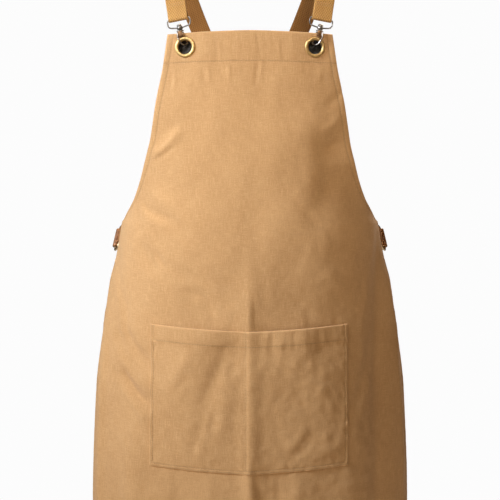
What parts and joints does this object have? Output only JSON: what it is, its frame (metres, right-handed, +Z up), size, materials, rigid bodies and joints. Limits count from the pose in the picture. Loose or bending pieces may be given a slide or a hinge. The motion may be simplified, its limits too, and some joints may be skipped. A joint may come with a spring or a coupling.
{
  "type": "bib apron",
  "caption": "Canvas bib apron with a divided front pocket, webbing straps that cross at the back, snap hooks in eyelets and rings at the waist.",
  "frame": {"origin": "between the crests of the straps, at the height of the wearer's shoulders and in the middle of their depth", "axes": "+Z up, the front of the apron faces -Y, +X is the right side of the picture"},
  "size_m": [0.4938, 0.2146, 1.0224],
  "materials": {
    "canvas": "matte cotton canvas",
    "pocket_canvas": "matte cotton canvas",
    "webbing": "matte twill webbing",
    "gilt_brass": "polished",
    "antique_brass": "satin",
    "antique_nickel": "satin, aged",
    "bronze": "satin",
    "tab_leather": "waxed",
    "black_patch": "satin"
  },
  "bodies": {
    "root": {"apron_panel": "canvas", "pocket": "pocket_canvas", "eyelet_right": "gilt_brass", "eyelet_left": "gilt_brass", "eyelet_patch_right": "black_patch", "eyelet_patch_left": "black_patch", "swivel_bail_right": "antique_nickel", "swivel_bail_left": "antique_nickel", "snap_hook_right": "antique_nickel", "snap_hook_left": "antique_nickel", "hook_gate_right": "bronze", "hook_gate_left": "bronze", "waist_ring_right": "antique_brass", "waist_ring_left": "antique_brass", "waist_tab_right": "tab_leather", "waist_tab_left": "tab_leather", "strap_right": "webbing", "strap_left": "webbing"}
  },
  "joints": []
}
